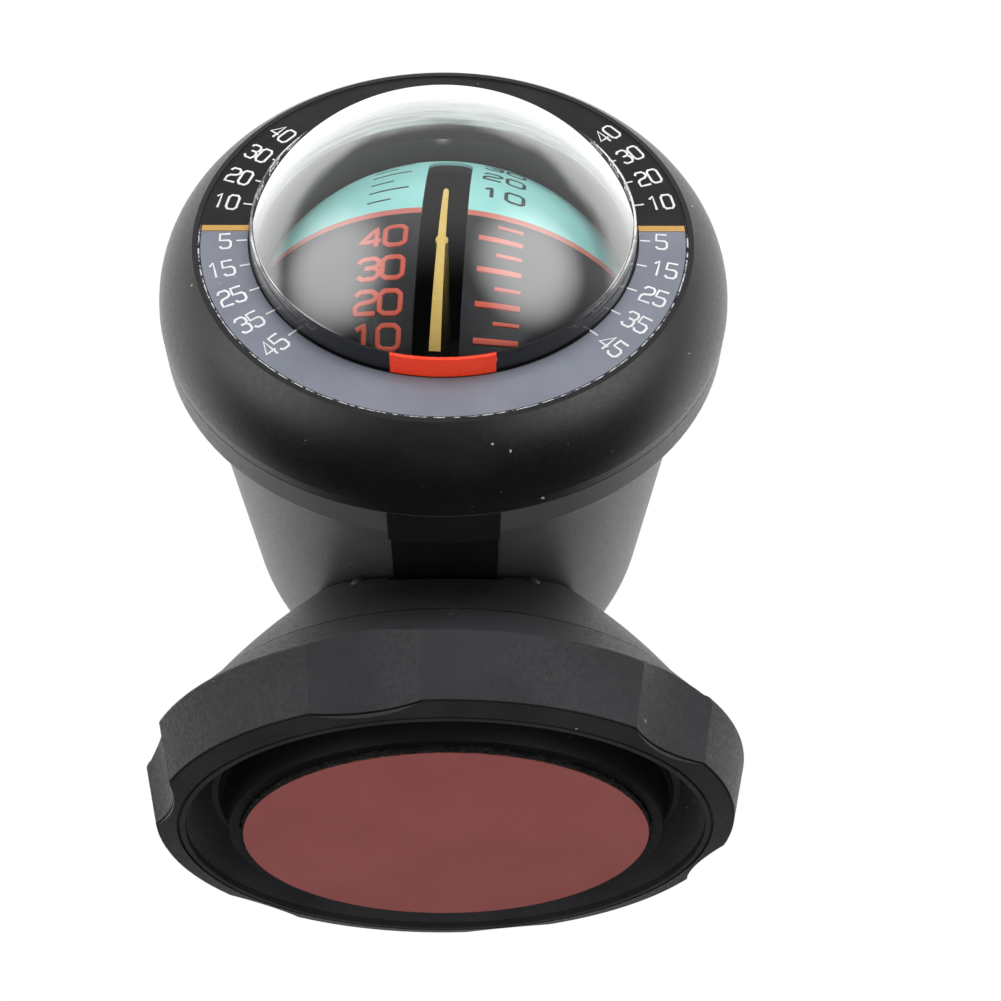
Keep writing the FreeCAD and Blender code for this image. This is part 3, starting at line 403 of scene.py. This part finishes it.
softLooks = {
    "maroonPaper": {"nodes": ["release_paper"], "colour": (0.305, 0.082, 0.077),
                    "shade": (0.335, 0.094, 0.088), "fleck": (0.32, 0.13, 0.12), "mottle": 0.25,
                    "fibre": 2.2, "cell": 1.5, "cloud": 0.07,
                    "rough": 0.6, "bump": 0.05, "depth": 0.02, "specular": 0.15},
    "blackFoam": {"nodes": ["foam_tape"], "colour": (0.008, 0.008, 0.008), "shade": (0.014, 0.014, 0.014),
                  "fleck": (0.04, 0.04, 0.04), "mottle": 0.5, "fibre": 3.0, "cell": 3.0, "cloud": 0.3,
                  "rough": 0.85, "bump": 0.9, "depth": 0.15},
    "greyFelt": {"nodes": ["felt_washer"], "colour": (0.10, 0.10, 0.10), "shade": (0.14, 0.14, 0.14),
                 "fleck": (0.22, 0.22, 0.21), "mottle": 0.6, "fibre": 4.0, "cell": 4.0, "cloud": 0.4,
                 "rough": 0.95, "bump": 0.6, "depth": 0.1},
}
for makeMaterial, looks in ((moulded, plasticLooks), (turnedMetal, metalLooks), (fibrous, softLooks)):
    for name, look in looks.items():
        made = makeMaterial(name, look)
        for node in look["nodes"]:
            dressed(node, made)


# ball's upper shell: pale outside, dark inside
paleShell = {"colour": (0.32, 0.70, 0.66), "shade": (0.38, 0.76, 0.72), "inside": (0.02, 0.02, 0.022),
             "skin": 0.35, "blend": 0.05}


def fromCentre(tree, centre):
    # offset and distance from a fixed point, in mm
    coords = addNode(tree, "ShaderNodeTexCoord")
    mapping = addNode(tree, "ShaderNodeMapping")
    mapping.inputs["Location"].default_value = -centre
    mapping.inputs["Scale"].default_value = (1000, 1000, 1000)
    tree.links.new(coords.outputs["Object"], mapping.inputs["Vector"])
    length = addNode(tree, "ShaderNodeVectorMath", operation="LENGTH")
    tree.links.new(mapping.outputs["Vector"], length.inputs[0])
    return mapping.outputs["Vector"], length.outputs["Value"]


def makeBallUpper(look):
    material, tree, shader = freshMaterial("ballUpper")
    place = millimetres(tree)
    cloud = noisy(tree, place, 0.15)
    tone = blended(tree, ranged(tree, cloud, 0.3, 0.7, 0.0, 1.0), look["colour"], look["shade"])
    away = fromCentre(tree, ballCentre)[1]
    skin = ballRadius - look["skin"]
    outer = ranged(tree, away, skin, skin + look["blend"], 0, 1)
    tone = blended(tree, outer, look["inside"], tone)
    tree.links.new(tone, shader.inputs["Base Color"])
    tree.links.new(ranged(tree, cloud, 0.3, 0.7, 0.3, 0.42), shader.inputs["Roughness"])
    bumped(tree, shader, [(noisy(tree, place, 4.0), 0.1, 0.01)])
    return material


dressed("float_upper_shell", makeBallUpper(paleShell))

# collar of the window: glossy black, with pale streaks of painted reflection, standing in for light seen
# through the clear collar, that fade out towards its foot
collarLook = {"colour": (0.004, 0.004, 0.005), "streak": (0.75, 0.75, 0.74), "low": -16.0, "high": -2.0,
              "stretch": (0.1, 2.2, 0.1), "coat": 0.6, "coatRough": 0.05}


def makeCollar(look):
    material, tree, shader = freshMaterial("collarGloss")
    place = millimetres(tree, look["stretch"])
    streak = ranged(tree, noisy(tree, place, 1.0, 5.0, 0.7), 0.38, 0.60, 0.15, 1.0)
    height = addNode(tree, "ShaderNodeSeparateXYZ")
    tree.links.new(millimetres(tree), height.inputs[0])
    low = headPlace["pivot"] + look["low"]
    high = headPlace["pivot"] + look["high"]
    # painted reflection: the pale streaks grow towards the top of the collar, in place of light coming
    # through it
    rise = ranged(tree, height.outputs["Z"], low, high, 0.0, 1.0)
    paintedReflection = sums(tree, "MULTIPLY", streak, rise)
    tree.links.new(blended(tree, paintedReflection, look["colour"], look["streak"]), shader.inputs["Base Color"])
    tree.links.new(ranged(tree, streak, 0.0, 1.0, 0.08, 0.25), shader.inputs["Roughness"])
    shader.inputs["Coat Weight"].default_value = look["coat"]
    shader.inputs["Coat Roughness"].default_value = look["coatRough"]
    bumped(tree, shader, [(streak, 0.1, 0.02)])
    return material


dressed("window_ring", makeCollar(collarLook))

# clear dome: mirror-like at its rim, clear in the middle; only its outer face reflects
domeLook = {"radius": 26.7, "skin": (0.8, 0.7), "index": 1.5, "gain": 5.0, "rough": 0.06,
            "tint": (0.985, 0.99, 0.99, 1), "wave": 0.3, "waveDepth": 0.05}


def makeClear(name, look):
    material, tree, shader = freshMaterial(name)
    tree.nodes.remove(shader)
    place = millimetres(tree)
    offset, away = fromCentre(tree, domeCentre)
    clear = addNode(tree, "ShaderNodeBsdfTransparent")
    clear.inputs["Color"].default_value = look["tint"]
    gloss = addNode(tree, "ShaderNodeBsdfGlossy")
    smear = ranged(tree, noisy(tree, place, 0.25), 0.35, 0.7, look["rough"] * 0.4, look["rough"])
    tree.links.new(smear, gloss.inputs["Roughness"])
    bump = addNode(tree, "ShaderNodeBump")
    bump.inputs["Strength"].default_value = look["wave"]
    bump.inputs["Distance"].default_value = look["waveDepth"] * mm
    tree.links.new(noisy(tree, place, 0.12), bump.inputs["Height"])
    turned = addNode(tree, "ShaderNodeVectorTransform", vector_type="NORMAL", convert_from="OBJECT",
                     convert_to="WORLD")
    tree.links.new(offset, turned.inputs[0])
    tree.links.new(turned.outputs[0], bump.inputs["Normal"])
    tree.links.new(bump.outputs["Normal"], gloss.inputs["Normal"])
    edge = addNode(tree, "ShaderNodeFresnel")
    edge.inputs["IOR"].default_value = look["index"]
    amount = sums(tree, "MINIMUM", sums(tree, "MULTIPLY", edge.outputs["Fac"], look["gain"]), 1.0)
    skinFrom, skinTo = [look["radius"] - depth for depth in look["skin"]]
    outer = ranged(tree, away, skinFrom, skinTo, 0.0, 1.0)
    front = addNode(tree, "ShaderNodeNewGeometry")
    fromOutside = sums(tree, "SUBTRACT", 1.0, front.outputs["Backfacing"])
    amount = sums(tree, "MULTIPLY", sums(tree, "MULTIPLY", amount, outer), fromOutside)
    mix = addNode(tree, "ShaderNodeMixShader")
    tree.links.new(amount, mix.inputs["Fac"])
    tree.links.new(clear.outputs[0], mix.inputs[1])
    tree.links.new(gloss.outputs[0], mix.inputs[2])
    tree.links.new(mix.outputs[0], tree.nodes["Material Output"].inputs["Surface"])
    return material


liquidLook = {"colour": (0.985, 0.99, 0.99), "shade": (0.975, 0.985, 0.985), "swirl": 0.1}


def makeLiquid(look):
    material, tree, shader = freshMaterial("clearLiquid")
    tree.nodes.remove(shader)
    clear = addNode(tree, "ShaderNodeBsdfTransparent")
    swirl = noisy(tree, millimetres(tree), look["swirl"])
    tone = blended(tree, ranged(tree, swirl, 0.3, 0.7, 0.0, 1.0), look["colour"], look["shade"])
    tree.links.new(tone, clear.inputs["Color"])
    tree.links.new(clear.outputs[0], tree.nodes["Material Output"].inputs["Surface"])
    return material


dressed("clear_dome", makeClear("clearDome", domeLook))
dressed("damping_liquid", makeLiquid(liquidLook))
print("materials made")


# figures and marks: strokes drawn flat in mm, then laid on the dial or the ball
digitWidth = 0.6
digitShapes = {
    "0": [[(0, .16), (0, .84), (.13, 1), (.47, 1), (.6, .84), (.6, .16), (.47, 0), (.13, 0), (0, .16)]],
    "1": [[(.08, .8), (.3, 1), (.3, 0)]],
    "2": [[(0, .82), (.13, 1), (.47, 1), (.6, .86), (.6, .66), (.47, .54), (.13, .46), (0, .32), (0, 0),
           (.6, 0)]],
    "3": [[(0, .84), (.13, 1), (.47, 1), (.6, .86), (.6, .64), (.48, .53), (.2, .53)],
          [(.48, .53), (.6, .4), (.6, .15), (.47, 0), (.13, 0), (0, .16)]],
    "4": [[(.46, 0), (.46, 1), (0, .3), (.6, .3)]],
    "5": [[(.58, 1), (.02, 1), (0, .56), (.47, .56), (.6, .44), (.6, .14), (.47, 0), (.13, 0), (0, .14)]],
}


def figureStrokes(text, height, wide, gap, start, turn):
    # text reads along turn (degrees) from start, centred across its height
    direction = Vector((math.cos(math.radians(turn)), math.sin(math.radians(turn))))
    across = Vector((-direction.y, direction.x))
    strokes = []
    for place, digit in enumerate(text):
        for stroke in digitShapes[digit]:
            strokes.append([Vector(start) + direction * (place * (wide + gap) + x / digitWidth * wide)
                            + across * (y - 0.5) * height for x, y in stroke])
    return strokes


def finePoints(stroke, step):
    points = [Vector(stroke[0])]
    for end in stroke[1:]:
        start = points[-1]
        parts = max(1, math.ceil((Vector(end) - start).length / step))
        for part in range(1, parts + 1):
            points.append(start.lerp(Vector(end), part / parts))
    return points


flatTop = 0.3  # height over a stroke's middle, as a share of its width, above which it is flat
liftMargin = 0.15  # share of the lift by which the stroke's foot stands off the surface


def layStrokes(name, strokes, look, place, material, body):
    curve = bpy.data.curves.new(name, "CURVE")
    curve.dimensions = "3D"
    curve.bevel_depth = look["width"] / 2
    curve.bevel_resolution = 1
    curve.use_fill_caps = True
    for stroke in strokes:
        points = finePoints(stroke, look["step"])
        closed = (points[0] - points[-1]).length < 1e-6
        if closed:
            points.pop()
        spline = curve.splines.new("POLY")
        spline.points.add(len(points) - 1)
        spline.use_cyclic_u = closed
        for point, spot in zip(spline.points, points):
            point.co = (spot.x, spot.y, 0, 1)
    holder = bpy.data.objects.new(name + "Curve", curve)
    bpy.context.scene.collection.objects.link(holder)
    mesh = bpy.data.meshes.new_from_object(holder.evaluated_get(bpy.context.evaluated_depsgraph_get()))
    bpy.data.objects.remove(holder)
    for vertex in mesh.vertices:  # a low raised band above, and pressed flat just over the surface below
        rise = min(max(vertex.co.z / (flatTop * look["width"]), 0), 1)
        vertex.co = place(vertex.co.x, vertex.co.y, look["lift"] * (rise + liftMargin))
    shape = bmesh.new()
    shape.from_mesh(mesh)
    bmesh.ops.recalc_face_normals(shape, faces=shape.faces)
    shape.to_mesh(mesh)
    shape.free()
    mesh.name = name
    piece = bpy.data.objects.new(name, mesh)
    bpy.context.scene.collection.objects.link(piece)
    mesh.materials.clear()
    mesh.materials.append(material)
    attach(piece, body)


dialFigures = {"radius": 24.05, "height": 2.3, "wide": 1.22, "gap": 0.32, "rise": 0.45, "width": 0.34,
               "lift": 0.03, "step": 3.0,
               "upper": ("10", "20", "30", "40"), "lower": ("5", "15", "25", "35", "45"),
               "tickFrom": 22.25, "tickTo": 23.4, "tickWidth": 0.24}
dialInk = moulded("dialInk", {"colour": (0.80, 0.81, 0.82), "shade": (0.66, 0.67, 0.68), "rough": (0.4, 0.5),
                              "grain": 6.0, "bump": 0.1})


def makeDialFigures(look):
    figures = []
    ticks = []
    figure = (look["height"], look["wide"], look["gap"])
    for sign, texts in ((1, look["upper"]), (-1, look["lower"])):
        for text in texts:
            angle = sign * int(text)
            ray = Vector((math.cos(math.radians(angle)), math.sin(math.radians(angle))))
            length = len(text) * look["wide"] + (len(text) - 1) * look["gap"]
            figures += figureStrokes(text, *figure, ray * look["radius"], angle)
            far = ray * (look["radius"] + length)
            figures += figureStrokes(text, *figure, (-far.x, far.y), -angle)
            for side in (-1, 1):
                ticks.append([(side * ray.x * r, ray.y * r) for r in (look["tickFrom"], look["tickTo"])])

    def place(x, y, out):
        return onDial(x, y + look["rise"], out)

    upper = [stroke for stroke in figures if stroke[0][1] > 0]
    lower = [stroke for stroke in figures if stroke[0][1] <= 0]
    layStrokes("dialFiguresUpper", upper, look, place, dialInk, "head")
    layStrokes("dialFiguresLower", lower, look, place, dialInk, "head")
    layStrokes("dialTicks", ticks, {**look, "width": look["tickWidth"]}, place, dialInk, "head")


makeDialFigures(dialFigures)

# arcs in degrees up the ball's front, lengths across in mm; a shape is height, width and gap of its digits
ballMarks = {"redLong": (-3.9, -13.4, -22.9, -32.2), "redShort": (0.7, -8.6, -18.3, -27.5, -36.5),
             "redFrom": 4.05, "redTo": 9.0, "shortFrom": 6.1,
             "redFigures": (("40", -4.0), ("30", -13.7), ("20", -23.2), ("10", -32.2)),
             "figureLeft": -9.2, "figureShape": (2.7, 2.3, 0.45), "dot": ((-8.4, -37.6), (-8.1, -37.6)),
             "darkLong": (15.6, 26.3, 36.5), "darkShort": (10.6, 20.6, 31.5),
             "darkFrom": -9.1, "darkTo": -4.5, "darkShortTo": -6.4,
             "darkFigures": (("10", 14.8), ("20", 25.0), ("30", 34.5)), "darkLeft": 4.1,
             "darkShape": (2.2, 2.0, 0.7), "stroke": {"lift": 0.04, "step": 0.5},
             "widths": {"ballRedTicks": 0.8, "ballRedShortTicks": 0.55, "ballRedFigures": 0.68,
                        "ballDarkTicks": 0.32, "ballDarkShortTicks": 0.28, "ballDarkFigures": 0.45}}
redInk = moulded("redInk", {"colour": (0.74, 0.150, 0.095), "shade": (0.62, 0.110, 0.075),
                            "rough": (0.35, 0.45), "grain": 5.0, "bump": 0.1})
darkInk = moulded("darkInk", {"colour": (0.02, 0.03, 0.03), "shade": (0.04, 0.05, 0.05), "rough": (0.4, 0.5),
                              "grain": 5.0, "bump": 0.1})


def arc(degrees):
    return math.radians(degrees) * ballRadius


def across(degrees, start, end):
    return [(start, arc(degrees)), (end, arc(degrees))]


def makeBallMarks(look):
    red = [across(angle, look["redFrom"], look["redTo"]) for angle in look["redLong"]]
    redThin = [across(angle, look["shortFrom"], look["redTo"]) for angle in look["redShort"]]
    dark = [across(angle, look["darkFrom"], look["darkTo"]) for angle in look["darkLong"]]
    darkThin = [across(angle, look["darkFrom"], look["darkShortTo"]) for angle in look["darkShort"]]
    text = []
    for digits, angle in look["redFigures"]:
        text += figureStrokes(digits, *look["figureShape"], (look["figureLeft"], arc(angle)), 0)
    darkText = []
    for digits, angle in look["darkFigures"]:
        darkText += figureStrokes(digits, *look["darkShape"], (look["darkLeft"], arc(angle)), 0)
    dot = [[(x, arc(angle)) for x, angle in look["dot"]]]
    for name, strokes, ink in (("ballRedTicks", red, redInk), ("ballRedShortTicks", redThin, redInk),
                               ("ballRedFigures", text + dot, redInk), ("ballDarkTicks", dark, darkInk),
                               ("ballDarkShortTicks", darkThin, darkInk),
                               ("ballDarkFigures", darkText, darkInk)):
        layStrokes(name, strokes, {**look["stroke"], "width": look["widths"][name]}, onBall, ink, "float")


makeBallMarks(ballMarks)
print("figures and marks laid")


# bare edge of the dial plate: a thin line with pale chips, kept to its lower part as a painted highlight
edgeLine = {"inner": 27.5, "outer": 27.68, "rise": 0.08, "shoulder": 0.048, "sink": -0.3, "steps": 240,
            "chipScale": 1.1, "chipCuts": (0.44, 0.56), "highlightFadeHeight": 3.0,
            "dark": (0.012, 0.012, 0.013), "bare": (0.60, 0.61, 0.64)}


def spun(name, outline, steps, centre, axis):
    # a closed outline of points turned about an axis
    mesh = bpy.data.meshes.new(name)
    shape = bmesh.new()
    corners = [shape.verts.new(point) for point in outline]
    edges = [shape.edges.new((corners[i], corners[(i + 1) % len(corners)])) for i in range(len(corners))]
    bmesh.ops.spin(shape, geom=corners + edges, cent=centre, axis=axis, angle=math.tau, steps=steps,
                   use_merge=True)
    bmesh.ops.recalc_face_normals(shape, faces=shape.faces)
    shape.to_mesh(mesh)
    shape.free()
    mesh.shade_smooth()
    piece = bpy.data.objects.new(name, mesh)
    bpy.context.scene.collection.objects.link(piece)
    return piece


def makeEdgeLine(look):
    middle = (look["inner"] + look["outer"]) / 2
    profile = ((look["inner"], look["sink"]), (look["inner"], look["shoulder"]), (middle, look["rise"]),
               (look["outer"], look["shoulder"]), (look["outer"], look["sink"]))
    outline = [onDial(0, radius, height) for radius, height in profile]
    ring = spun("dialEdgeLine", outline, look["steps"], onDial(0, 0, 0), outward)
    material, tree, shader = freshMaterial("bareEdgeHighlight")
    place = millimetres(tree)
    chipsAndHighlight = ranged(tree, noisy(tree, place, look["chipScale"], 5.0, 0.7), *look["chipCuts"], 0.0, 1.0)
    height = addNode(tree, "ShaderNodeSeparateXYZ")
    tree.links.new(place, height.inputs[0])
    # painted highlight: the pale chips show only on the lower part of the ring and fade out above it
    level = headPlace["pivot"]
    lower = ranged(tree, height.outputs["Z"], level, level + look["highlightFadeHeight"], 1.0, 0.0)
    chipsAndHighlight = sums(tree, "MULTIPLY", chipsAndHighlight, lower)
    tree.links.new(blended(tree, chipsAndHighlight, look["dark"], look["bare"]), shader.inputs["Base Color"])
    tree.links.new(ranged(tree, chipsAndHighlight, 0.0, 1.0, 0.5, 0.3), shader.inputs["Roughness"])
    bumped(tree, shader, [(chipsAndHighlight, 0.3, 0.03)])
    ring.data.materials.append(material)
    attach(ring, "head")


makeEdgeLine(edgeLine)

# torn edge of the foam tape, round the paper
foamEdge = {"inner": 24.15, "outer": 24.5, "top": 1.1, "steps": 540, "rough": 0.42, "roughScale": 2.2,
            "held": 0.05, "jitter": 0.09, "jitterScale": 3.1}


def makeFoamEdge(look):
    inner, outer, top = look["inner"], look["outer"], look["top"]
    profile = ((inner, 0.12), (inner + 0.12, 0.06), (outer - 0.1, 0.08), (outer, 0.2), (outer, 0.5),
               (outer - 0.03, 0.8), (outer - 0.1, top), (inner, top))
    outline = [Vector((radius, 0, height)) * mm for radius, height in profile]
    edge = spun("foamTornEdge", outline, look["steps"], (0, 0, 0), (0, 0, 1))
    for vertex in edge.data.vertices:
        spot = Vector(vertex.co) / mm
        radius = math.hypot(spot.x, spot.y)
        push = noise.fractal(spot * look["roughScale"], 1.0, 2.0, 3) * look["rough"]
        if radius > inner + look["held"]:
            factor = (radius + push) / radius
            spot.x *= factor
            spot.y *= factor
            lift = noise.noise(spot * look["jitterScale"]) * look["jitter"]
            spot.z = min(max(spot.z + lift, 0.0), top)
            vertex.co = spot * mm
    edge.data.materials.append(bpy.data.materials["blackFoam"])
    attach(edge, "base")


makeFoamEdge(foamEdge)
print("edges made")
